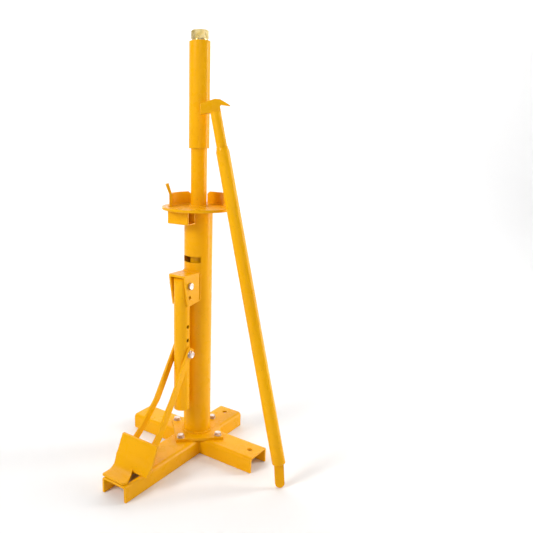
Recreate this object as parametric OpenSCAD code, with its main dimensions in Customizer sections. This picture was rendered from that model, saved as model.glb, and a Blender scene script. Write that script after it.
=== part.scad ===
// Manual tyre changer with a bead breaker.
// Origin: on the column axis at floor level. +Z is up, -Y is the breaker leg, +X the right leg.

/* [Base] */
// Width of each base channel
channel_w = 64; // [50:1:100]
// Height of each base channel, floor to web top
channel_h = 34; // [25:1:60]
// Thickness of the channel steel
channel_t = 5; // [3:0.5:8]
// Reach of the breaker leg from the column axis
front_reach = 266; // [200:1:500]
// Reach of the rear leg
rear_reach = 134; // [100:1:400]
// Reach of the left and right legs
side_reach = 165; // [120:1:400]
// Distance of the floor bolt holes from the end of a leg
anchor_inset = 22; // [15:1:60]
// Diameter of the floor bolt holes
anchor_d = 11; // [8:0.5:16]
// Side of the square base plate
plate_side = 105; // [90:1:160]
// Thickness of the base plate
plate_t = 6; // [4:0.5:12]
// Distance of the base plate bolts from the column axis
plate_bolt_r = 58.5; // [45:0.5:80]

/* [Column] */
// Outside diameter of the column tube
column_d = 60.3; // [48:0.1:90]
// Wall of the column tube
column_wall = 4; // [2:0.5:6]
// Height of the wheel table top above the floor
table_z = 547; // [400:1:800]
// Radius of the wheel table
table_r = 77; // [60:1:150]
// Thickness of the wheel table
table_t = 6; // [4:0.5:12]
// Height of the slot in the column
slot_h = 13; // [8:1:30]
// Width of the slot in the column
slot_w = 44; // [20:1:50]
// Height of the middle of the slot
slot_z = 437; // [420:0.5:500]

/* [Wheel clamp] */
// Outside diameter of the upper post
post_d = 33.7; // [26:0.1:48]
// Outside diameter of the clamp sleeve
sleeve_d = 42.4; // [33:0.1:60]
// Lower end of the clamp sleeve when it is fully raised
sleeve_z = 666; // [620:1:760]
// Length of the clamp sleeve
sleeve_len = 207; // [150:1:260]
// Thread diameter of the clamp screw
screw_d = 20; // [12:1:30]

/* [Bead breaker] */
// Distance of the lever pivot in front of the column axis
pivot_y = 55.5; // [50:0.5:80]
// Height of the lever pivot
pivot_z = 387.5; // [300:0.5:500]
// Outside diameter of the lever tube
lever_d = 33.7; // [26:0.1:48]
// Wall of the lever tube
lever_wall = 2.6; // [2:0.1:4]
// Height of the lower end of the lever tube
lever_low_z = 110; // [80:1:200]
// Depth of the socket for the tyre bar in the end of the lever tube
socket_len = 120; // [60:5:120]
// Height of the link pivot
link_z = 238.5; // [200:0.5:300]
// Spacing of the holes along the lever tube
hole_pitch = 30; // [20:1:50]
// Width of the shoe
shoe_w = 92; // [70:1:140]
// Thickness of the shoe plate
shoe_t = 5; // [3:0.5:8]
// Radius of the bend in the shoe
shoe_bend_r = 45; // [20:1:80]

/* [Tyre bar] */
// Outside diameter of the main tube of the tyre bar
bar_d = 26.9; // [21:0.1:34]
// Outside diameter of the thin tube at the head
bar_neck_d = 21.3; // [17:0.1:27]
// Length of the tyre bar up to the head plate
bar_len = 761; // [600:1:1200]
// Sideways lean of the tyre bar in degrees
bar_lean = 10.8; // [5:0.1:20]
// Forward lean of the tyre bar in degrees
bar_tilt = 10.7; // [5:0.1:20]

/* [Hidden] */
$fn = 72;
eps = 0.01;
fit = 0.05;            // radial clearance of a bolt in a turning hole
paint = [0.98, 0.66, 0.10];
paint_dark = [0.90, 0.60, 0.08];
zinc = [0.80, 0.78, 0.76];
brass = [0.86, 0.70, 0.34];

// Metric hex sizes: across flats and head or nut height
m8_flats = 13;
m8_head = 5.3;
m8_nut = 6.8;
m8_r = 4;
m20_flats = 30;
m20_nut = 18;

channel_round = 8;
web_z = channel_h;
plate_top = channel_h + plate_t;
washer_t = 1.6;
washer_r = 8;

column_r = column_d / 2;
table_low = table_z - table_t;
post_r = post_d / 2;
post_wall = 3;
post_top = 775;
post_low = 400;

ear_out_r = 62;
ear_t = 6;
ear_h = 26;
ear_span = 86;
ear_middle = 126.4;    // the gap behind the post, in degrees from +X
ear_gap = 36.8;
ear_chamfer = 5;
finger_span = 21;
finger_rise = 22;
finger_out = 8;

stub_depth = 25;
stub_h = 28;
stub_wall = 3;
stub_x = [-38.5, 15];

sleeve_r = sleeve_d / 2;
sleeve_wall = 3.2;
sleeve_top = sleeve_z + sleeve_len;
cap_t = 6;
thrust_t = 3;
collar_r = 15;
collar_h = 8;
screw_low = 745;
boss_h = 24;

cheek_in = lever_d / 2 + 0.5;
cheek_t = 4;
roof_z = pivot_z + 18.6;
roof_t = 5;
bracket_front = [72, 61];
bracket_low = 344;
spare_drop = 25;

lever_r = lever_d / 2;
lever_end_r = roof_z - pivot_z - 0.6;
lever_bore_z = pivot_z + 8;     // the bore of the lever tube stops here, under the closed end
socket_step = 0.3;     // the socket is bored out by this much

link_in = lever_r + 0.5;
link_t = 5;
link_w = 16;
link_over = 13;         // how far a bar runs on above its bolt
link_path = [[115, 146], [163, 90], [215, 47]];    // bends and end of a link bar, as [forward, up]
link_splay = 11;

shoe_tip_y = 265;
shoe_flat_y = 246;
shoe_low = channel_h + 0.8;
shoe_rise = 65.5;
shoe_top_z = 92;
shoe_bend_z = shoe_low + shoe_t + shoe_bend_r;
bend_steps = 12;

window_x = [-24, 25];
window_y = [-253, -206];

bar_wall = 2.6;
bar_turn = 37.24;
bar_foot = [244.5, -32.8, 1.37];
spoon_len = 50;
spoon_w = 19;
spoon_t = 6;
spoon_bend = 7.5;
spoon_plug = 14;
bar_tube_end = 683;
neck_inset = 40;
head_t = 8;

// ---------- helpers ----------

// A hexagonal prism standing on z = 0, with one corner on +X.
module hex(flats, h) {
    cylinder(d = flats / cos(30), h = h, $fn = 6);
}

// A hollow round tube standing on z = 0.
module tube(r, wall, h) {
    difference() {
        cylinder(r = r, h = h);
        translate([0, 0, -1]) cylinder(r = r - wall, h = h + 2);
    }
}

// A solid bar with rounded top edges, from y = 0 to y = len.
module round_top(w, h, r, len) {
    translate([-w / 2, 0, 0]) cube([w, len, h - r]);
    translate([-w / 2 + r, 0, 0]) cube([w - 2 * r, len, h]);
    for (side = [-1, 1])
        translate([side * (w / 2 - r), 0, h - r]) rotate([-90, 0, 0]) cylinder(r = r, h = len);
}

// A channel, open side down, from y = 0 to y = len.
module channel(len) {
    difference() {
        round_top(channel_w, channel_h, channel_round, len);
        translate([0, -1, -eps])
            round_top(channel_w - 2 * channel_t, channel_h - channel_t + eps, channel_round - channel_t, len + 2);
    }
}

// A vertical hole through the web of a channel.
module web_hole(x, y, r) {
    translate([x, y, channel_h - channel_t - 1]) cylinder(r = r, h = channel_t + 2);
}

// The four places of the base plate bolts.
module at_plate_bolts() {
    for (turn = [0, 90, 180, 270])
        rotate([0, 0, turn]) translate([plate_bolt_r, 0, 0]) children();
}

// A bolt along X: hex head on +X at x = grip, shank through to x = -tail.
module cross_bolt(grip, tail) {
    translate([grip, 0, 0]) rotate([0, 90, 0]) rotate([0, 0, 15]) hex(m8_flats, m8_head);
    translate([-tail, 0, 0]) rotate([0, 90, 0]) cylinder(r = m8_r, h = tail + grip + eps);
}

// A nut along X, with its inner face at x = -grip.
module cross_nut(grip) {
    translate([-grip - m8_nut, 0, 0]) rotate([0, 90, 0])
        difference() {
            hex(m8_flats, m8_nut);
            translate([0, 0, -1]) cylinder(r = m8_r + fit, h = m8_nut + 2);
        }
}

// A flat washer standing on z = 0.
module washer() {
    tube(washer_r, washer_r - m8_r - fit, washer_t);
}

// A hole along X through everything near the given point.
module cross_hole(y, z, r) {
    translate([-60, y, z]) rotate([0, 90, 0]) cylinder(r = r, h = 120);
}

// ---------- base ----------

module base_channel() {
    color(paint)
    difference() {
        translate([0, -front_reach, 0]) channel(front_reach + rear_reach);
        web_hole(0, plate_bolt_r, m8_r + fit);
        web_hole(0, -plate_bolt_r, m8_r + fit);
        web_hole(0, rear_reach - anchor_inset, anchor_d / 2);
        translate([window_x[0], window_y[0], channel_h - channel_t - 1])
            cube([window_x[1] - window_x[0], window_y[1] - window_y[0], channel_t + 2]);
    }
}

module side_leg() {
    difference() {
        rotate([0, 0, -90]) translate([0, channel_w / 2, 0]) channel(side_reach - channel_w / 2);
        web_hole(plate_bolt_r, 0, m8_r + fit);
        web_hole(side_reach - anchor_inset, 0, anchor_d / 2);
    }
}

module leg_right() {
    color(paint) side_leg();
}

module leg_left() {
    color(paint) rotate([0, 0, 180]) side_leg();
}

module base_plate() {
    color(paint)
    difference() {
        rotate([0, 0, 45])
            translate([-plate_side / 2, -plate_side / 2, web_z]) cube([plate_side, plate_side, plate_t]);
        at_plate_bolts() translate([0, 0, web_z - 1]) cylinder(r = m8_r + fit, h = plate_t + 2);
    }
}

module plate_bolts() {
    color(zinc)
    at_plate_bolts() {
        translate([0, 0, plate_top + washer_t]) hex(m8_flats, m8_head);
        translate([0, 0, channel_h - channel_t - m8_nut - 3])
            cylinder(r = m8_r, h = plate_top + washer_t - channel_h + channel_t + m8_nut + 3 + eps);
    }
}

module plate_washers() {
    color(zinc)
    at_plate_bolts() translate([0, 0, plate_top]) washer();
}

module plate_nuts() {
    color(zinc)
    at_plate_bolts() translate([0, 0, channel_h - channel_t - m8_nut])
        difference() {
            hex(m8_flats, m8_nut);
            translate([0, 0, -1]) cylinder(r = m8_r + fit, h = m8_nut + 2);
        }
}

// ---------- column ----------

module column_tube() {
    color(paint)
    difference() {
        translate([0, 0, plate_top]) tube(column_r, column_wall, table_low - plate_top);
        translate([-slot_w / 2, -column_r - 1, slot_z - slot_h / 2])
            cube([slot_w, column_r, slot_h]);
    }
}

module table_stub() {
    color(paint)
    translate([stub_x[0], -column_r - fit - stub_depth, table_low - stub_h])
        difference() {
            cube([stub_x[1] - stub_x[0], stub_depth, stub_h]);
            translate([-1, stub_wall, stub_wall])
                cube([stub_x[1] - stub_x[0] + 2, stub_depth - 2 * stub_wall, stub_h - 2 * stub_wall]);
        }
}

// Outline of a bracket cheek in the Y-Z plane, extruded along +X by cheek_t.
module cheek() {
    rotate([90, 0, 90]) linear_extrude(height = cheek_t)
        polygon([
            [-bracket_front[0], roof_z + eps], [-bracket_front[1], bracket_low],
            [-15, bracket_low + 6], [-15, roof_z + eps]]);
}

module breaker_bracket() {
    color(paint)
    difference() {
        union() {
            translate([cheek_in, 0, 0]) cheek();
            translate([-cheek_in - cheek_t, 0, 0]) cheek();
            translate([-cheek_in - cheek_t, -bracket_front[0], roof_z])
                cube([2 * (cheek_in + cheek_t), bracket_front[0] - 15, roof_t]);
        }
        cylinder(r = column_r + fit, h = table_low);
        cross_hole(-pivot_y, pivot_z, m8_r + fit);
        cross_hole(-pivot_y, pivot_z - spare_drop, m8_r + fit);
    }
}

module pivot_bolt() {
    color(zinc) translate([0, -pivot_y, pivot_z])
        cross_bolt(cheek_in + cheek_t, cheek_in + cheek_t + m8_nut + 3);
}

module pivot_nut() {
    color(zinc) translate([0, -pivot_y, pivot_z]) cross_nut(cheek_in + cheek_t);
}

// ---------- wheel table and post ----------

module wheel_table() {
    color(paint)
    translate([0, 0, table_low]) tube(table_r, table_r - post_r - fit, table_t);
}

// The upright of the left ear: part of a ring, with its top corner cut off beside the gap.
module ear_upright() {
    start = ear_middle + ear_gap / 2;
    difference() {
        rotate([0, 0, start]) rotate_extrude(angle = ear_span)
            translate([ear_out_r - ear_t, table_z]) square([ear_t, ear_h]);
        rotate([0, 0, start]) translate([ear_out_r - ear_t / 2, 0, table_z + ear_h])
            rotate([45, 0, 0]) cube([ear_t * 2, ear_chamfer * 1.4, ear_chamfer * 1.4], center = true);
    }
}

// The finger on the far end of the left ear, leaning outwards from inside the ear's top.
module ear_finger() {
    start = ear_middle + ear_gap / 2 + ear_span - finger_span - 0.5;
    low = table_z + ear_h - 2;
    high = table_z + ear_h + finger_rise;
    rotate([0, 0, start]) rotate_extrude(angle = finger_span)
        polygon([
            [ear_out_r - ear_t + 0.4, low], [ear_out_r - 0.4, low],
            [ear_out_r + finger_out, high - 2], [ear_out_r + finger_out - ear_t, high]]);
}

module ear_left() {
    color(paint) {
        ear_upright();
        ear_finger();
    }
}

module ear_right() {
    color(paint) rotate([0, 0, ear_middle]) mirror([0, 1, 0]) rotate([0, 0, -ear_middle]) ear_upright();
}

module upper_post() {
    color(paint) translate([0, 0, post_low]) tube(post_r, post_wall, post_top - post_low);
}

// Threaded boss fixed in the top of the post.
module post_boss() {
    color(zinc) translate([0, 0, post_top - boss_h])
        tube(post_r - post_wall - fit, post_r - post_wall - fit - screw_d / 2 - fit, boss_h);
}

// ---------- wheel clamp ----------

module clamp_sleeve() {
    color(paint) translate([0, 0, sleeve_z]) tube(sleeve_r, sleeve_wall, sleeve_len);
}

module sleeve_cap() {
    color(paint) translate([0, 0, sleeve_top - cap_t])
        tube(sleeve_r - sleeve_wall - fit, sleeve_r - sleeve_wall - fit - screw_d / 2 - fit, cap_t);
}

module thrust_washer() {
    color(zinc) translate([0, 0, sleeve_top])
        tube(m20_flats / 2 + 1, m20_flats / 2 + 1 - screw_d / 2 - fit, thrust_t);
}

module clamp_screw() {
    color(zinc) translate([0, 0, screw_low])
        cylinder(r = screw_d / 2, h = sleeve_top + thrust_t + m20_nut - 1 - screw_low);
}

module screw_head() {
    color(brass) translate([0, 0, sleeve_top + thrust_t])
        intersection() {
            difference() {
                rotate([0, 0, bar_turn - 60]) hex(m20_flats, m20_nut);
                translate([0, 0, -1]) cylinder(r = screw_d / 2 + 0.02, h = m20_nut + 2);
            }
            cylinder(r1 = m20_flats / 2 + m20_nut + 0.6, r2 = m20_flats / 2 + 0.6, h = m20_nut);
        }
}

module screw_collar() {
    color(zinc) translate([0, 0, sleeve_top - cap_t - 1 - collar_h])
        tube(collar_r, collar_r - screw_d / 2 - 0.02, collar_h);
}

// ---------- bead breaker ----------

// Side outline of the lever, with the upper end rounded about the pivot to turn under the bracket roof.
module lever_outline() {
    translate([-lever_d, -pivot_y, 0]) rotate([90, 0, 90]) linear_extrude(height = 2 * lever_d)
        polygon(concat([[lever_end_r, lever_low_z]],
            [for (a = [0:6:180]) [lever_end_r * cos(a), pivot_z + lever_end_r * sin(a)]],
            [[-lever_end_r, lever_low_z]]));
}

module lever_tube() {
    color(paint)
    difference() {
        intersection() {
            translate([0, -pivot_y, lever_low_z]) cylinder(r = lever_r, h = roof_z - lever_low_z);
            lever_outline();
        }
        translate([0, -pivot_y, lever_low_z]) cylinder(r = lever_r - lever_wall - socket_step,
            h = lever_bore_z - lever_low_z);
        translate([0, -pivot_y, lever_low_z - 1]) cylinder(r = lever_r - lever_wall, h = socket_len + 1);
        cross_hole(-pivot_y, pivot_z, m8_r + fit);
        for (i = [0, 1, 2])
            cross_hole(-pivot_y, link_z + i * hole_pitch, m8_r + fit);
    }
}

// The link bolt ends flush in the left link bar, which holds its thread.
module link_bolt() {
    color(zinc) translate([0, -pivot_y, link_z]) cross_bolt(link_in + link_t + washer_t, link_in + link_t);
}

module link_washer() {
    color(zinc) translate([link_in + link_t, -pivot_y, link_z]) rotate([0, 90, 0]) washer();
}

// Everything in front of the back face of the shoe plate.
module shoe_front() {
    top = shoe_back(0.02, shoe_top_z + 60);
    translate([-60, 0, 0]) rotate([90, 0, 90]) linear_extrude(height = 120)
        polygon(concat([[-shoe_tip_y - 80, shoe_low - 30]], [for (i = [0:bend_steps]) bend_point(i, 0.02)],
            [top], [[-shoe_tip_y - 80, top[1]]]));
}

function unit(v) = v / norm(v);

// Corner i of a strip along a path, at distance d to its side, with a mitre at each bend.
function strip_corner(path, i, d) =
    let (before = unit(path[i] - path[i - 1]),
        after = i < len(path) - 1 ? unit(path[i + 1] - path[i]) : before,
        mean = unit(before + after))
    path[i] + [-mean[1], mean[0]] * d / (mean * before);

// Side outline of a link bar, as [y, z]: a strip with a square upper end and two bends.
module link_side() {
    path = [for (p = concat([[pivot_y, link_z]], link_path)) [-p[0], p[1]]];
    down = unit(path[1] - path[0]);
    half = [-down[1], down[0]] * link_w / 2;
    end = path[0] - down * link_over;
    polygon(concat(
        [end + half, end - half],
        [for (i = [1:len(path) - 1]) strip_corner(path, i, -link_w / 2)],
        [for (i = [len(path) - 1:-1:1]) strip_corner(path, i, link_w / 2)]));
}

// Front outline of a link bar, as [x, z]: straight above its first bend, splayed below it.
module link_front() {
    top = link_z + 2 * link_over;
    bend = link_path[0][1];
    low = link_path[2][1] - link_w;
    out = link_in + link_splay;
    polygon([
        [link_in, top], [link_in, bend], [out, low],
        [out + link_t, low], [link_in + link_t, bend], [link_in + link_t, top]]);
}

// One link bar, on the +X side.
module link_bar() {
    difference() {
        intersection() {
            rotate([90, 0, 90]) linear_extrude(height = 80) link_side();
            rotate([90, 0, 0]) linear_extrude(height = 300) link_front();
        }
        cross_hole(-pivot_y, link_z, m8_r + fit);
        shoe_front();
    }
}

module link_bar_left() {
    color(paint_dark) mirror([1, 0, 0]) link_bar();
}

module link_bar_right() {
    color(paint_dark) link_bar();
}

// Point i of the bend, at the given distance outside the plate's back face, as [y, z].
function bend_point(i, out) =
    let (turn = i * shoe_rise / bend_steps, r = shoe_bend_r + shoe_t + out)
    [-shoe_flat_y + r * sin(turn), shoe_bend_z - r * cos(turn)];

// Point on the plate's back face, or out from it, at height z on the straight blade.
function shoe_back(out, z) =
    let (low = bend_point(bend_steps, out)) [low[0] + (z - low[1]) / tan(shoe_rise), z];

// Side profile of the shoe plate: flat toe, bend and sloping blade, as [y, z].
module shoe_profile() {
    polygon(concat(
        [[-shoe_tip_y, shoe_low + shoe_t], [-shoe_tip_y, shoe_low]],
        [for (i = [0:bend_steps]) bend_point(i, 0)],
        [shoe_back(0, shoe_top_z), shoe_back(-shoe_t, shoe_top_z)],
        [for (i = [bend_steps:-1:0]) bend_point(i, -shoe_t)]));
}

// Plan of the shoe plate: a narrow toe, and a wide blade with its front right corner cut away.
module shoe_plan() {
    half = shoe_w / 2;
    polygon([
        [-32, -shoe_tip_y - 1], [22, -shoe_tip_y - 1], [28, -257], [12, -225],
        [half + 3, -225], [half + 1, -100], [-half, -100], [-half, -212], [-36, -229], [-32, -246]]);
}

module shoe_plate() {
    color(paint)
    intersection() {
        translate([-60, 0, 0]) rotate([90, 0, 90]) linear_extrude(height = 120) shoe_profile();
        translate([0, 0, channel_h - 10]) linear_extrude(height = shoe_top_z) shoe_plan();
    }
}

// ---------- tyre bar ----------

// Puts a piece built along +Z from the foot of the bar into its leaning place.
module lean() {
    translate(bar_foot) rotate([0, 0, bar_turn]) rotate([-bar_tilt, 0, 0]) rotate([0, -bar_lean, 0]) children();
}

module bar_tube() {
    color(paint) lean() {
        translate([0, 0, spoon_len]) tube(bar_d / 2, bar_wall, bar_tube_end - spoon_len);
        translate([0, 0, bar_tube_end - eps])
            difference() {
                cylinder(r1 = bar_d / 2, r2 = bar_neck_d / 2 + 0.6, h = 8);
                translate([0, 0, -1]) cylinder(r = bar_neck_d / 2 + 0.2, h = 10);
            }
    }
}

module bar_neck() {
    color(paint) lean() translate([0, 0, bar_tube_end - neck_inset])
        tube(bar_neck_d / 2, bar_wall, bar_len - bar_tube_end + neck_inset);
}

module bar_head() {
    color(paint) lean() translate([0, 0, bar_len]) rotate([90, 0, 0])
        translate([0, 0, -head_t / 2]) linear_extrude(height = head_t)
            polygon([
                [-10.5, 0], [-31, 1.5], [-27.5, 22], [-9, 24.8], [3, 26.3], [13, 23.6],
                [23, 15.5], [31.6, 6.7], [22, 9.5], [13, 12.5], [10.5, 10.5], [10.5, 0]]);
}

// Flat rounded blade, bent back a little, with a round plug that closes the tube.
module bar_spoon() {
    color(paint) lean() {
        translate([0, 0, spoon_len]) rotate([90, spoon_bend, 0]) translate([0, -spoon_len, -spoon_t / 2])
            linear_extrude(height = spoon_t) {
                translate([0, spoon_w / 2]) circle(d = spoon_w);
                translate([-spoon_w / 2, spoon_w / 2]) square([spoon_w, spoon_len - spoon_w / 2 + 1]);
            }
        translate([0, 0, spoon_len - 1]) cylinder(r = bar_d / 2 - bar_wall - fit, h = spoon_plug);
    }
}

base_channel();
leg_right();
leg_left();
base_plate();
plate_bolts();
plate_washers();
plate_nuts();
column_tube();
table_stub();
breaker_bracket();
pivot_bolt();
pivot_nut();
wheel_table();
ear_left();
ear_right();
upper_post();
post_boss();
clamp_sleeve();
sleeve_cap();
thrust_washer();
clamp_screw();
screw_head();
screw_collar();
lever_tube();
link_bolt();
link_washer();
link_bar_left();
link_bar_right();
shoe_plate();
bar_tube();
bar_neck();
bar_head();
bar_spoon();
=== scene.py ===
"""Looks of the manual tyre changer with bead breaker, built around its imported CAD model."""

import math

import bpy
from mathutils import Matrix, Quaternion, Vector
from mathutils.bvhtree import BVHTree


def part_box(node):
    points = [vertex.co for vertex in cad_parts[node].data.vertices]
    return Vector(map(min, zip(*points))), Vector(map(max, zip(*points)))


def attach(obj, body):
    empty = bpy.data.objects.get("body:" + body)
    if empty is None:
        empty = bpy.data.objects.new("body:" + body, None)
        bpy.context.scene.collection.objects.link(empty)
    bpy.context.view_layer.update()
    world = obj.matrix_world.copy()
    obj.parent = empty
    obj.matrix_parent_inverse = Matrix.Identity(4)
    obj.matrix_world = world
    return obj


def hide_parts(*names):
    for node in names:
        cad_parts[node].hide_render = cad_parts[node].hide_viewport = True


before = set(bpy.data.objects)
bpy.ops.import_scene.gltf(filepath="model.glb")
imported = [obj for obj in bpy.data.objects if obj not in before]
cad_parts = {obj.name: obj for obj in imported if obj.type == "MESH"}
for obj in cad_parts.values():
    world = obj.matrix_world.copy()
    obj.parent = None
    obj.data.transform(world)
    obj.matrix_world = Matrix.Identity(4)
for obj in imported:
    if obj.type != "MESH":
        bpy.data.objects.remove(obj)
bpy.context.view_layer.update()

MM = 0.001

# Camera: its angle round the column from the long leg, its tilt, its place in metres and its lens in mm
CAMERA_AZIMUTH = math.radians(37.24)
CAMERA_PITCH = math.radians(12.86)
CAMERA_ROLL = math.radians(0.44)
CAMERA_REACH = 1.2314
CAMERA_HEIGHT = 0.6908
CAMERA_LENS = 39.63
CAMERA_SENSOR = 36.0
CAMERA_SHIFT = (0.1283, 0.0062)
TOWARD_CAMERA = Vector((math.sin(CAMERA_AZIMUTH), -math.cos(CAMERA_AZIMUTH), 0))

# Paint and metal colours, linear
AMBER = (0.930, 0.450, 0.002)
AMBER_DEEP = (0.860, 0.390, 0.001)
AMBER_PALE = (0.940, 0.500, 0.008)
PRIMER = (0.300, 0.150, 0.030)
ZINC = (0.640, 0.585, 0.560)
ZINC_WARM = (0.700, 0.540, 0.450)
YELLOW_ZINC = (0.600, 0.440, 0.130)
YELLOW_ZINC_PALE = (0.780, 0.620, 0.300)
STEEL = (0.460, 0.440, 0.420)

# Fastener sizes, in metres
M8_FLATS, M8_HEAD, M8_NUT, M8_RADIUS, M8_PITCH = 13 * MM, 5.3 * MM, 6.8 * MM, 4 * MM, 1.25 * MM
M20_FLATS, M20_PITCH = 30 * MM, 2.5 * MM
HEX_STEPS = 72          # points round a hex head or nut
THREAD_STEPS = 40       # points round a threaded rod
THREAD_SHARP = 60       # edge angle in degrees above which a thread is drawn sharp

# Which finish each CAD node has; the nodes not listed here are replaced by detailed pieces
PAINTED_NODES = (
    "base_channel", "leg_right", "leg_left", "base_plate", "column_tube", "table_stub", "breaker_bracket",
    "wheel_table", "ear_left", "ear_right", "upper_post", "clamp_sleeve", "sleeve_cap", "lever_tube",
    "link_bar_left", "link_bar_right", "shoe_plate")
BAR_NODES = ("bar_tube", "bar_neck", "bar_head", "bar_spoon")
METAL_NODES = {
    "plate_washers": "zinc", "plate_nuts": "zinc", "link_washer": "zinc", "thrust_washer": "yellow_zinc",
    "post_boss": "steel", "screw_collar": "steel"}

# Rounding of cut edges in millimetres, for the nodes that differ from the usual
USUAL_EDGE, BAR_EDGE, METAL_EDGE = 0.5, 0.4, 0.3
EDGE_WIDTHS = {
    "base_channel": 0.8, "leg_right": 0.8, "leg_left": 0.8, "base_plate": 0.8, "wheel_table": 1.2,
    "ear_left": 0.9, "ear_right": 0.9, "breaker_bracket": 1.0, "link_bar_left": 0.9, "link_bar_right": 0.9,
    "shoe_plate": 1.0, "table_stub": 0.9, "bar_head": 1.5, "bar_spoon": 1.6}

# Radius of the weld beads
WELD_HEAVY, WELD_CORNER, WELD_MEDIUM = 3.2 * MM, 2.6 * MM, 2.4 * MM
WELD_LIGHT, WELD_EAR, WELD_CAP = 2.0 * MM, 1.9 * MM, 1.3 * MM
WELD_SIDES = 10
WELD_INSET = 2 * MM     # a bead stops this far short of the end of its seam

# The studio floor lies just under the object's feet
FLOOR_GAP = 0.6 * MM


# ---------- materials ----------

class Nodes:
    """Short names for building one material's node tree."""

    def __init__(self, name):
        self.material = bpy.data.materials.new(name)
        self.material.use_nodes = True
        self.tree = self.material.node_tree
        self.shader = self.tree.nodes["Principled BSDF"]
        coords = self.tree.nodes.new("ShaderNodeTexCoord")
        self.place = coords.outputs["Object"]

    def link(self, start, end):
        self.tree.links.new(start, end)

    def noise(self, scale, detail=3.0, roughness=0.5, stretch=None):
        """Noise value from 0 to 1 over the object's own coordinates."""
        node = self.tree.nodes.new("ShaderNodeTexNoise")
        node.inputs["Scale"].default_value = scale
        node.inputs["Detail"].default_value = detail
        node.inputs["Roughness"].default_value = roughness
        source = self.place
        if stretch:
            mapping = self.tree.nodes.new("ShaderNodeMapping")
            mapping.inputs["Scale"].default_value = stretch
            self.link(self.place, mapping.inputs["Vector"])
            source = mapping.outputs["Vector"]
        self.link(source, node.inputs["Vector"])
        return node.outputs["Fac"]

    def remap(self, value, low, high, to_low=0.0, to_high=1.0):
        node = self.tree.nodes.new("ShaderNodeMapRange")
        node.inputs["From Min"].default_value = low
        node.inputs["From Max"].default_value = high
        node.inputs["To Min"].default_value = to_low
        node.inputs["To Max"].default_value = to_high
        self.link(value, node.inputs["Value"])
        return node.outputs["Result"]

    def math(self, kind, a, b):
        node = self.tree.nodes.new("ShaderNodeMath")
        node.operation = kind
        for socket, value in zip(node.inputs, (a, b)):
            if isinstance(value, (int, float)):
                socket.default_value = value
            else:
                self.link(value, socket)
        return node.outputs["Value"]

    def mix(self, factor, a, b):
        """Colour a where factor is 0, colour b where it is 1. Each is a colour or a socket."""
        node = self.tree.nodes.new("ShaderNodeMix")
        node.data_type = "RGBA"
        self.link(factor, node.inputs["Factor"])
        for name, value in (("A", a), ("B", b)):
            socket = [s for s in node.inputs if s.name == name and s.type == "RGBA"][0]
            if isinstance(value, tuple):
                socket.default_value = (*value, 1.0)
            else:
                self.link(value, socket)
        return [s for s in node.outputs if s.type == "RGBA"][0]

    def edges(self, radius):
        """Mask that is 1 along sharp edges and 0 on open faces."""
        bevel = self.tree.nodes.new("ShaderNodeBevel")
        bevel.samples = 4
        bevel.inputs["Radius"].default_value = radius
        geometry = self.tree.nodes.new("ShaderNodeNewGeometry")
        dot = self.tree.nodes.new("ShaderNodeVectorMath")
        dot.operation = "DOT_PRODUCT"
        self.link(bevel.outputs["Normal"], dot.inputs[0])
        self.link(geometry.outputs["Normal"], dot.inputs[1])
        return self.remap(dot.outputs["Value"], 0.995, 0.80)

    def bump(self, height, strength, distance):
        node = self.tree.nodes.new("ShaderNodeBump")
        node.inputs["Strength"].default_value = strength
        node.inputs["Distance"].default_value = distance
        self.link(height, node.inputs["Height"])
        self.link(node.outputs["Normal"], self.shader.inputs["Normal"])

    def colour(self, socket):
        self.link(socket, self.shader.inputs["Base Color"])

    def rough(self, socket):
        self.link(socket, self.shader.inputs["Roughness"])

    def set(self, name, value):
        self.shader.inputs[name].default_value = value


def paint_material(name, base, deep, wear):
    """Glossy sprayed enamel: slow tone drift, orange peel, tiny chips, and wear along the edges."""
    n = Nodes(name)
    drift = n.remap(n.noise(7.0, 2.0), 0.30, 0.72)
    tone = n.mix(drift, base, deep)
    dust = n.remap(n.noise(60.0, 4.0, 0.7), 0.60, 0.85, 0.0, 0.35)
    tone = n.mix(dust, tone, AMBER_PALE)
    edge = n.math("MULTIPLY", n.edges(1.1 * MM), n.remap(n.noise(120.0, 3.0, 0.6), 0.46, 0.60))
    speck = n.remap(n.noise(420.0, 1.0), 0.745, 0.765)
    worn = n.math("ADD", n.math("MULTIPLY", edge, wear), n.math("MULTIPLY", speck, wear))
    worn = n.math("MINIMUM", worn, 1.0)
    n.colour(n.mix(worn, tone, PRIMER))
    gloss = n.remap(n.noise(45.0, 4.0), 0.25, 0.75, 0.22, 0.36)
    n.rough(n.math("ADD", gloss, n.math("MULTIPLY", worn, 0.35)))
    peel = n.math("ADD", n.math("MULTIPLY", n.noise(340.0, 2.0), 0.5), n.math("MULTIPLY", worn, -0.6))
    n.bump(peel, 0.22, 0.0004)
    n.set("Specular IOR Level", 0.10)
    n.set("Coat Weight", 0.07)
    n.set("Coat Roughness", 0.08)
    return n.material


def plated_material(name, base, warm, roughness):
    """Zinc-plated steel: metallic, softly mottled, with fine brushing."""
    n = Nodes(name)
    mottle = n.remap(n.noise(110.0, 3.0), 0.35, 0.68)
    tone = n.mix(mottle, base, warm)
    grime = n.remap(n.noise(60.0, 4.0, 0.7), 0.60, 0.80, 0.0, 0.45)
    n.colour(n.mix(grime, tone, STEEL))
    n.rough(n.remap(n.noise(220.0, 3.0), 0.3, 0.7, roughness - 0.08, roughness + 0.12))
    n.bump(n.noise(700.0, 2.0, 0.5, (1.0, 1.0, 0.2)), 0.18, 0.0003)
    n.set("Metallic", 1.0)
    return n.material


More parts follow.
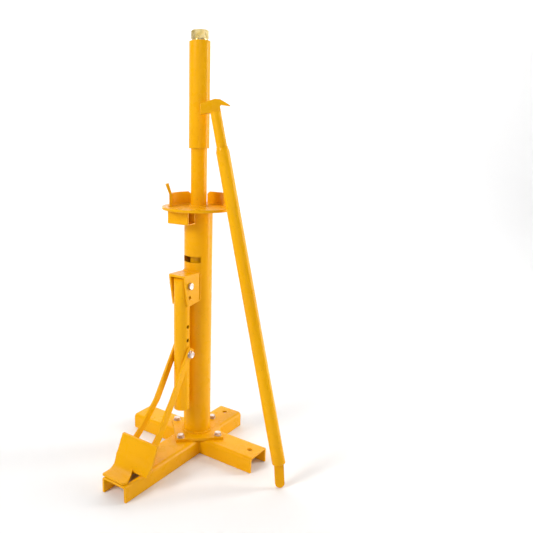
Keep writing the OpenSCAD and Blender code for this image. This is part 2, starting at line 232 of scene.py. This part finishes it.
def make_materials():
    return {
        "paint": paint_material("amber_paint", AMBER, AMBER_DEEP, wear=0.55),
        "bar_paint": paint_material("amber_paint_bar", AMBER, AMBER_DEEP, wear=0.75),
        "weld": paint_material("amber_paint_weld", AMBER_DEEP, AMBER, wear=0.25),
        "zinc": plated_material("zinc_plate", ZINC, ZINC_WARM, roughness=0.34),
        "yellow_zinc": plated_material("yellow_zinc_plate", YELLOW_ZINC, YELLOW_ZINC_PALE, roughness=0.22),
        "steel": plated_material("oiled_steel", STEEL, ZINC, roughness=0.42)}


# ---------- mesh helpers ----------

def circle(steps):
    """Angles of evenly spaced points round a full circle."""
    return [2 * math.pi * i / steps for i in range(steps)]


def add_mesh(name, verts, faces, material, body):
    """A new piece in the row frame that rides on a CAD body."""
    mesh = bpy.data.meshes.new(name)
    mesh.from_pydata([tuple(v) for v in verts], [], faces)
    mesh.validate()
    for polygon in mesh.polygons:
        polygon.use_smooth = True
    piece = bpy.data.objects.new(name, mesh)
    bpy.context.scene.collection.objects.link(piece)
    piece.data.materials.append(material)
    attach(piece, body)
    return piece


def split_edges(piece, degrees=38):
    modifier = piece.modifiers.new("edges", "EDGE_SPLIT")
    modifier.split_angle = math.radians(degrees)


def skin_rings(rings, closed_loop=False, caps=True):
    """Vertices and faces of a skin over rings of equal point counts."""
    count = len(rings[0])
    verts = [p for ring in rings for p in ring]
    faces = []
    last = len(rings) if closed_loop else len(rings) - 1
    for i in range(last):
        a, b = i * count, ((i + 1) % len(rings)) * count
        for j in range(count):
            k = (j + 1) % count
            faces.append((a + j, a + k, b + k, b + j))
    if caps and not closed_loop:
        faces.append(tuple(reversed(range(count))))
        faces.append(tuple(range((len(rings) - 1) * count, len(rings) * count)))
    return verts, faces


def along(direction):
    """Matrix that turns local +Z to the given direction."""
    return direction.normalized().to_track_quat("Z", "Y").to_matrix().to_4x4()


def placed(origin, direction, turn=0.0):
    """Matrix from a piece's own frame (built along +Z) to the row frame."""
    return Matrix.Translation(origin) @ along(Vector(direction)) @ Matrix.Rotation(turn, 4, "Z")


# ---------- CAD nodes ----------

def soften(node, material, width):
    """Gives a shown CAD node its material, small rounded edges and smooth curved faces."""
    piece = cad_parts[node]
    piece.data.materials.clear()
    piece.data.materials.append(material)
    for polygon in piece.data.polygons:
        polygon.use_smooth = True
        polygon.material_index = 0
    weld = piece.modifiers.new("weld", "WELD")
    weld.merge_threshold = 0.01 * MM
    flat = piece.modifiers.new("flat", "DECIMATE")
    flat.decimate_type = "DISSOLVE"
    flat.angle_limit = math.radians(0.5)
    bevel = piece.modifiers.new("bevel", "BEVEL")
    bevel.limit_method = "ANGLE"
    bevel.angle_limit = math.radians(40)
    bevel.width = width
    bevel.segments = 2
    normals = piece.modifiers.new("normals", "WEIGHTED_NORMAL")
    normals.mode = "FACE_AREA"
    normals.weight = 80
    normals.keep_sharp = True


# ---------- fasteners ----------

def hex_radius(flats, angle):
    """Distance from the axis to a hexagon's side at the given angle; a corner is at angle 0."""
    step = math.radians(60)
    return flats / 2 / math.cos(angle % step - step / 2)


def hex_body(flats, height, crown_both=False):
    """Rings of a hexagonal head or nut along +Z. Its corners are chamfered at the top.

    A nut is chamfered below too (crown_both); a head has a thin washer face below instead.
    """
    flat_radius = flats / 2 * 0.95
    slope = math.tan(math.radians(30))
    face_z, corner_z = height * 0.06, height * 0.10
    angles = circle(HEX_STEPS)
    radii = [hex_radius(flats, a) for a in angles]

    def ring(radius_of, z_of):
        return [Vector((radius_of(i) * math.cos(a), radius_of(i) * math.sin(a), z_of(i)))
                for i, a in enumerate(angles)]

    drop = [max(0.0, (r - flat_radius) * slope) for r in radii]
    rings = []
    if crown_both:
        rings.append(ring(lambda i: flat_radius, lambda i: 0.0))
        rings.append(ring(lambda i: radii[i], lambda i: drop[i]))
    else:
        rings.append(ring(lambda i: flat_radius * 0.98, lambda i: 0.0))
        rings.append(ring(lambda i: flat_radius, lambda i: face_z))
        rings.append(ring(lambda i: radii[i] - 0.1 * MM, lambda i: face_z))
        rings.append(ring(lambda i: radii[i], lambda i: corner_z))
    rings.append(ring(lambda i: radii[i], lambda i: height - drop[i]))
    rings.append(ring(lambda i: flat_radius, lambda i: height))
    return rings


def threaded_rod(radius, pitch, low, high):
    """Rings of a rod with a helical thread, from z = low to z = high, with a chamfered end at high."""
    rings_per_turn = 6
    depth = pitch * 0.55
    total = max(2, round((high - low) / pitch * rings_per_turn))
    rings = []
    for i in range(total + 1):
        z = low + (high - low) * i / total
        ring = []
        for angle in circle(THREAD_STEPS):
            phase = (z / pitch - angle / (2 * math.pi)) % 1.0
            r = radius - depth * abs(2 * phase - 1)
            r = min(r, radius - depth + high - z)
            ring.append(Vector((r * math.cos(angle), r * math.sin(angle), z)))
        rings.append(ring)
    return rings


def dished(rings, radius, depth):
    """Adds a shallow dished centre to the last ring of a head."""
    centre = sum(rings[-1], Vector()) / len(rings[-1])
    for share, down in ((0.80, 0.0), (0.70, 0.6), (0.35, 1.0)):
        ring = []
        for p in rings[-1]:
            side = Vector((p.x, p.y, 0)).normalized()
            ring.append(Vector((side.x * radius * share, side.y * radius * share, centre.z - depth * down)))
        rings.append(ring)
    return rings


def ring_piece(name, rings, matrix, material, body, sharp=38):
    """A piece skinned over rings given in its own frame; edges above the sharp angle stay sharp."""
    verts, faces = skin_rings(rings)
    piece = add_mesh(name, [matrix @ v for v in verts], faces, material, body)
    split_edges(piece, sharp)
    return piece


def cross_bolt(name, node, body, materials):
    """Detailed bolt along X in place of a CAD bolt: chamfered head and threaded shank."""
    low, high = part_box(node)
    centre = Vector((0, (low.y + high.y) / 2, (low.z + high.z) / 2))
    seat = Vector((high.x - M8_HEAD, centre.y, centre.z))
    head = dished(hex_body(M8_FLATS, M8_HEAD), M8_FLATS / 2, 0.5 * MM)
    turn = math.radians(15)
    bolt = ring_piece(name + "_head", head, placed(seat, (1, 0, 0), turn), materials["zinc"], body)
    shank_end = Vector((0, centre.y, centre.z))
    shank = threaded_rod(M8_RADIUS, M8_PITCH, -seat.x, -low.x)
    ring_piece(name + "_shank", shank, placed(shank_end, (-1, 0, 0)), materials["zinc"], body,
               THREAD_SHARP)
    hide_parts(node)


def pivot_nut(materials):
    """Detailed nut on the left end of the pivot bolt."""
    low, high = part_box("pivot_nut")
    seat = Vector((high.x, (low.y + high.y) / 2, (low.z + high.z) / 2))
    nut = ring_piece("pivot_hex_nut", hex_body(M8_FLATS, M8_NUT, True), placed(seat, (-1, 0, 0), 0.3),
                     materials["zinc"], "base")
    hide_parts("pivot_nut")


def plate_bolts(materials):
    """The four bolts that hold the base plate to the channels, each head at its own turn."""
    low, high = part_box("plate_bolts")
    reach = high.x - M8_FLATS / 2 / math.cos(math.radians(30))
    seat = high.z - M8_HEAD
    for i in range(4):
        angle = math.radians(90 * i)
        spot = Vector((reach * math.cos(angle), reach * math.sin(angle), seat))
        head = dished(hex_body(M8_FLATS, M8_HEAD), M8_FLATS / 2, 0.5 * MM)
        turn = math.radians(17 + 23 * i)
        ring_piece(f"plate_bolt_head_{i}", head, placed(spot, (0, 0, 1), turn),
                                 materials["zinc"], "base")
        shank = threaded_rod(M8_RADIUS, M8_PITCH, 0.0, seat - low.z)
        ring_piece(f"plate_bolt_shank_{i}", shank, placed(spot, (0, 0, -1)), materials["zinc"], "base",
                   THREAD_SHARP)
    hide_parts("plate_bolts")


def screw_head(materials):
    """The large hex head of the clamp screw: a chamfered hex with the domed rod end in its top."""
    low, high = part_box("screw_head")
    height = high.z - low.z
    head = hex_body(M20_FLATS, height)
    groove_and_dome = ((0.74, 0.0), (0.70, -0.5), (0.66, -0.5), (0.62, 0.2), (0.30, 0.9), (0.06, 1.0))
    for share, rise in groove_and_dome:
        radius = M20_FLATS / 2 * share
        head.append([Vector((radius * math.cos(a), radius * math.sin(a), height + rise * MM))
                     for a in circle(HEX_STEPS)])
    matrix = placed(Vector((0, 0, low.z)), (0, 0, 1), CAMERA_AZIMUTH)
    piece = ring_piece("clamp_hex_head", head, matrix, materials["yellow_zinc"], "screw")
    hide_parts("screw_head")


def clamp_rod(materials):
    """The threaded rod of the wheel clamp."""
    low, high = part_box("clamp_screw")
    radius = (high.x - low.x) / 2
    rod = threaded_rod(radius, M20_PITCH, 0.0, high.z - low.z)
    piece = ring_piece("clamp_rod_thread", rod, placed(Vector((0, 0, high.z)), (0, 0, -1)), materials["zinc"],
                       "screw", THREAD_SHARP)
    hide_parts("clamp_screw")


# ---------- weld beads ----------

def bead(name, points, radius, body, materials, closed=False):
    """A rippled weld bead that follows a path of points."""
    spacing = radius * 0.22
    ripple_length = radius * 1.35
    path = [Vector(p) for p in points]
    if closed:
        path.append(path[0])
    fine = []
    for a, b in zip(path, path[1:]):
        steps = max(1, round((b - a).length / spacing))
        fine += [a.lerp(b, i / steps) for i in range(steps)]
    if not closed:
        fine.append(path[-1])
    total = len(fine)
    rings = []
    for i, p in enumerate(fine):
        before = fine[(i - 1) % total] if closed or i > 0 else fine[0]
        after = fine[(i + 1) % total] if closed or i < total - 1 else fine[-1]
        heading = (after - before).normalized()
        ripple = 0.5 + 0.5 * math.cos(2 * math.pi * i * spacing / ripple_length)
        wander = 0.06 * math.sin(i * 0.37) + 0.04 * math.sin(i * 0.113 + 1.0)
        size = radius * (0.86 + 0.16 * ripple ** 1.5 + wander)
        if not closed:
            ends = min(i, total - 1 - i) * spacing / radius
            size *= min(1.0, 0.25 + 0.75 * math.sqrt(min(1.0, ends)))
        matrix = placed(p, heading)
        rings.append([matrix @ Vector((size * math.cos(a), size * math.sin(a), 0))
                      for a in circle(WELD_SIDES)])
    verts, faces = skin_rings(rings, closed_loop=closed)
    return add_mesh(name, verts, faces, materials["weld"], body)


def arc(radius, z, start=0.0, span=360.0, steps=72):
    """Points on a level arc about the column axis; the last point is left out of a full circle."""
    count = steps if span >= 360 else steps + 1
    return [(radius * math.cos(math.radians(start + span * i / steps)),
             radius * math.sin(math.radians(start + span * i / steps)), z) for i in range(count)]


def column_welds(materials):
    """Rings where the column meets the base plate and the table, and where the post leaves the table."""
    column_low, column_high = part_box("column_tube")
    table_low, table_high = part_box("wheel_table")
    post_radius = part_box("upper_post")[1].x
    foot = arc(column_high.x + 0.5 * MM, column_low.z + 0.6 * MM)
    bead("weld_column_foot", foot, WELD_HEAVY, "base", materials, True)
    top = arc(column_high.x + 0.3 * MM, table_low.z - 0.4 * MM)
    bead("weld_column_top", top, WELD_MEDIUM, "base", materials, True)
    post_foot = arc(post_radius + 0.3 * MM, table_high.z + 0.3 * MM)
    bead("weld_post_foot", post_foot, WELD_MEDIUM, "base", materials, True)


def leg_welds(materials):
    """Upright beads in the four corners where the side legs butt against the long channel."""
    leg_low, leg_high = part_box("leg_right")
    low, high = 3 * MM, leg_high.z - 7 * MM
    for i, (sx, sy) in enumerate(((1, 1), (1, -1), (-1, 1), (-1, -1))):
        x, y = sx * leg_low.x, sy * leg_low.x
        bead(f"weld_crotch_{i}", [(x, y, low), (x, y, high)], WELD_CORNER, "base", materials)


def front_welds(materials):
    """Beads that hold the bracket and the table stub to the front of the column."""
    column_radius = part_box("column_tube")[1].x
    stub_low, stub_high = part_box("table_stub")
    bracket_low, bracket_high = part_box("breaker_bracket")
    stub_weld_x = 9 * MM
    for i, side in enumerate((1, -1)):
        x = side * bracket_high.x
        y = -math.sqrt(column_radius ** 2 - x ** 2)
        seam = [(x, y, bracket_low.z + 7 * MM), (x, y, bracket_high.z - WELD_INSET)]
        bead(f"weld_cheek_{i}", seam, WELD_MEDIUM, "base", materials)
        x = side * stub_weld_x
        y = -math.sqrt(column_radius ** 2 - x ** 2)
        seam = [(x, y, stub_low.z + WELD_INSET), (x, y, stub_high.z - WELD_INSET)]
        bead(f"weld_stub_{i}", seam, WELD_MEDIUM, "base", materials)
    half = math.degrees(math.asin(bracket_high.x / column_radius))
    roof = arc(column_radius + 0.2 * MM, bracket_high.z + 0.2 * MM, 270 - half, 2 * half, 24)
    bead("weld_roof", roof, WELD_MEDIUM, "base", materials)
    stub_top = [(x, stub_low.y, stub_high.z - 0.3 * MM) for x in (stub_low.x + 3 * MM, stub_high.x - 3 * MM)]
    bead("weld_stub_top", stub_top, WELD_LIGHT, "base", materials)


def ear_welds(materials):
    """Beads along the feet of both ears, inside and out."""
    table_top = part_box("wheel_table")[1].z
    feet = {}
    for name in ("ear_left", "ear_right"):
        feet[name] = [v.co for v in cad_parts[name].data.vertices if v.co.z < table_top + 1 * MM]
    distances = [Vector((p.x, p.y)).length for p in feet["ear_left"]]
    end_gap = 2
    for name, foot in feet.items():
        turns = [math.degrees(math.atan2(p.y, p.x)) % 360 for p in foot]
        start, span = min(turns) + end_gap, max(turns) - min(turns) - 2 * end_gap
        for side, radius in (("out", max(distances)), ("in", min(distances))):
            path = arc(radius, table_top + 0.2 * MM, start, span, 40)
            bead(f"weld_{name}_{side}", path, WELD_EAR, "base", materials)


def sleeve_welds(materials):
    """The bead that closes the top of the sleeve round its cap."""
    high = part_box("clamp_sleeve")[1]
    sleeve_wall = 3.2 * MM
    bead("weld_sleeve_cap", arc(high.x - sleeve_wall, high.z - 0.2 * MM), WELD_CAP, "sleeve", materials, True)


def shoe_welds(materials):
    """A bead on each side of both link bars where they meet the back of the shoe."""
    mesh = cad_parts["shoe_plate"].data
    back = BVHTree.FromPolygons([v.co for v in mesh.vertices], [tuple(p.vertices) for p in mesh.polygons])
    for name in ("link_bar_left", "link_bar_right"):
        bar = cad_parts[name].data
        near = [v.co for v in bar.vertices if back.find_nearest(v.co)[3] < 0.2 * MM]
        middle = sum((p.x for p in near), 0.0) / len(near)
        for side in (-1, 1):
            edge = sorted((p for p in near if (p.x - middle) * side > 0), key=lambda p: p.z)
            place = "in" if side * middle < 0 else "out"
            bead(f"weld_{name}_{place}", [edge[0], edge[-1]], WELD_LIGHT, "shoe", materials)


# ---------- tyre bar ----------

def bar_frame():
    """The middle of the neck tube's upper end and the bar's direction, from the neck tube's vertices."""
    points = [v.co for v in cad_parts["bar_neck"].data.vertices]
    low, high = min(p.z for p in points), max(p.z for p in points)
    end = 0.12 * (high - low)
    top = [p for p in points if p.z > high - end]
    foot = [p for p in points if p.z < low + end]
    top_centre = sum(top, Vector()) / len(top)
    foot_centre = sum(foot, Vector()) / len(foot)
    axis = (top_centre - foot_centre).normalized()
    return top_centre, axis


def bar_welds(materials):
    """Rings of weld where the neck leaves the main tube and where the head and spoon are joined."""
    top_centre, axis = bar_frame()

    def measure(node):
        """Heights of a node's lower and upper end along the bar, and its radius about the bar's axis."""
        offsets = [v.co - top_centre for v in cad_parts[node].data.vertices]
        heights = [p.dot(axis) for p in offsets]
        return min(heights), max(heights), max((p - axis * p.dot(axis)).length for p in offsets)

    tube_low, tube_high, tube_radius = measure("bar_tube")
    neck_top, neck_radius = measure("bar_neck")[1:]
    for name, height, radius, size in (
            ("weld_neck", tube_high, neck_radius + 0.1 * MM, 0.9 * MM),
            ("weld_spoon", tube_low, tube_radius - 2.0 * MM, 1.8 * MM),
            ("weld_head", neck_top, neck_radius - 0.9 * MM, 1.1 * MM)):
        matrix = placed(top_centre + axis * height, axis)
        ring = [matrix @ Vector((radius * math.cos(a), radius * math.sin(a), 0)) for a in circle(48)]
        bead(name, ring, size, "tyre_bar", materials, True)


# ---------- stage, light and camera ----------

def make_stage():
    """Near-white round floor that sweeps up into a wall all the way round.

    Its centre lies on the camera's side of the object, so the wall behind the object is the nearest.
    """
    floor_radius, sweep, top = 2.7, 1.6, 5.0
    turns, steps = 96, 16
    centre = TOWARD_CAMERA * 1.2 - Vector((0, 0, FLOOR_GAP))
    profile = []
    for i in range(steps + 1):
        rise = math.pi / 2 * i / steps
        profile.append((floor_radius + sweep * math.sin(rise), sweep * (1 - math.cos(rise))))
    profile.append((floor_radius + sweep, top))
    verts = [tuple(centre)]
    for out, up in profile:
        for turn in circle(turns):
            verts.append(tuple(centre + Vector((math.cos(turn) * out, math.sin(turn) * out, up))))
    faces = [(0, 1 + i, 1 + (i + 1) % turns) for i in range(turns)]
    for ring in range(len(profile) - 1):
        low = 1 + ring * turns
        for i in range(turns):
            after = (i + 1) % turns
            faces.append((low + i, low + turns + i, low + turns + after, low + after))
    mesh = bpy.data.meshes.new("studio_floor")
    mesh.from_pydata(verts, [], faces)
    for polygon in mesh.polygons:
        polygon.use_smooth = True
    floor = bpy.data.objects.new("studio_floor", mesh)
    bpy.context.scene.collection.objects.link(floor)
    n = Nodes("studio_white")
    n.set("Base Color", (0.93, 0.93, 0.93, 1.0))
    n.set("Roughness", 0.9)
    n.set("Specular IOR Level", 0.1)
    floor.data.materials.append(n.material)


def area_light(name, azimuth, elevation, distance, size, power, aim=(0.0, 0.0, 0.4)):
    """A soft light aimed at a point; its azimuth in degrees is counted from the camera's, to the right."""
    data = bpy.data.lights.new(name, "AREA")
    data.shape = "RECTANGLE"
    data.size, data.size_y = size
    data.energy = power
    light = bpy.data.objects.new(name, data)
    bpy.context.scene.collection.objects.link(light)
    turn = CAMERA_AZIMUTH + math.radians(azimuth)
    rise = math.radians(elevation)
    way = Vector((math.sin(turn) * math.cos(rise), -math.cos(turn) * math.cos(rise), math.sin(rise)))
    light.location = Vector(aim) + way * distance
    light.rotation_mode = "QUATERNION"
    light.rotation_quaternion = (-way).to_track_quat("-Z", "Y")


def make_lights():
    """A key from the left, a weak front light, a narrow rim from the right, a top and a wash on the wall."""
    world = bpy.data.worlds.new("studio")
    world.use_nodes = True
    background = world.node_tree.nodes["Background"]
    background.inputs["Color"].default_value = (1.0, 1.0, 1.0, 1.0)
    background.inputs["Strength"].default_value = 0.10
    bpy.context.scene.world = world
    on_wall = TOWARD_CAMERA * -3.0 + Vector((0, 0, 1.0))
    area_light("key", azimuth=-54, elevation=32, distance=2.6, size=(0.7, 1.2), power=36)
    area_light("front", azimuth=4, elevation=12, distance=3.0, size=(1.4, 1.2), power=5, aim=(0.0, 0.0, 0.7))
    area_light("rim", azimuth=98, elevation=14, distance=2.0, size=(0.5, 1.8), power=26)
    area_light("top", azimuth=0, elevation=86, distance=2.6, size=(2.4, 2.4), power=16)
    area_light("wash", azimuth=0, elevation=62, distance=2.0, size=(3.6, 1.2), power=48, aim=on_wall)


def make_camera():
    """The camera that sees the object as the product picture does."""
    data = bpy.data.cameras.new("camera")
    data.sensor_width = CAMERA_SENSOR
    data.lens = CAMERA_LENS
    data.shift_x, data.shift_y = CAMERA_SHIFT
    camera = bpy.data.objects.new("camera", data)
    bpy.context.scene.collection.objects.link(camera)
    camera.location = TOWARD_CAMERA * CAMERA_REACH + Vector((0, 0, CAMERA_HEIGHT))
    aim = -TOWARD_CAMERA * math.cos(CAMERA_PITCH) - Vector((0, 0, math.sin(CAMERA_PITCH)))
    camera.rotation_mode = "QUATERNION"
    camera.rotation_quaternion = aim.to_track_quat("-Z", "Y") @ Quaternion((0, 0, 1), CAMERA_ROLL)
    bpy.context.scene.camera = camera


# ---------- build ----------

def build():
    """Finishes every CAD node and adds the pieces that only the looks have."""
    materials = make_materials()
    for node in PAINTED_NODES:
        soften(node, materials["paint"], EDGE_WIDTHS.get(node, USUAL_EDGE) * MM)
    for node in BAR_NODES:
        soften(node, materials["bar_paint"], EDGE_WIDTHS.get(node, BAR_EDGE) * MM)
    for node, metal in METAL_NODES.items():
        soften(node, materials[metal], METAL_EDGE * MM)
    plate_bolts(materials)
    cross_bolt("pivot", "pivot_bolt", "base", materials)
    pivot_nut(materials)
    cross_bolt("link", "link_bolt", "shoe", materials)
    screw_head(materials)
    clamp_rod(materials)
    column_welds(materials)
    leg_welds(materials)
    front_welds(materials)
    ear_welds(materials)
    sleeve_welds(materials)
    shoe_welds(materials)
    bar_welds(materials)


build()
make_stage()
make_lights()
make_camera()
bpy.context.scene.view_settings.view_transform = "Standard"
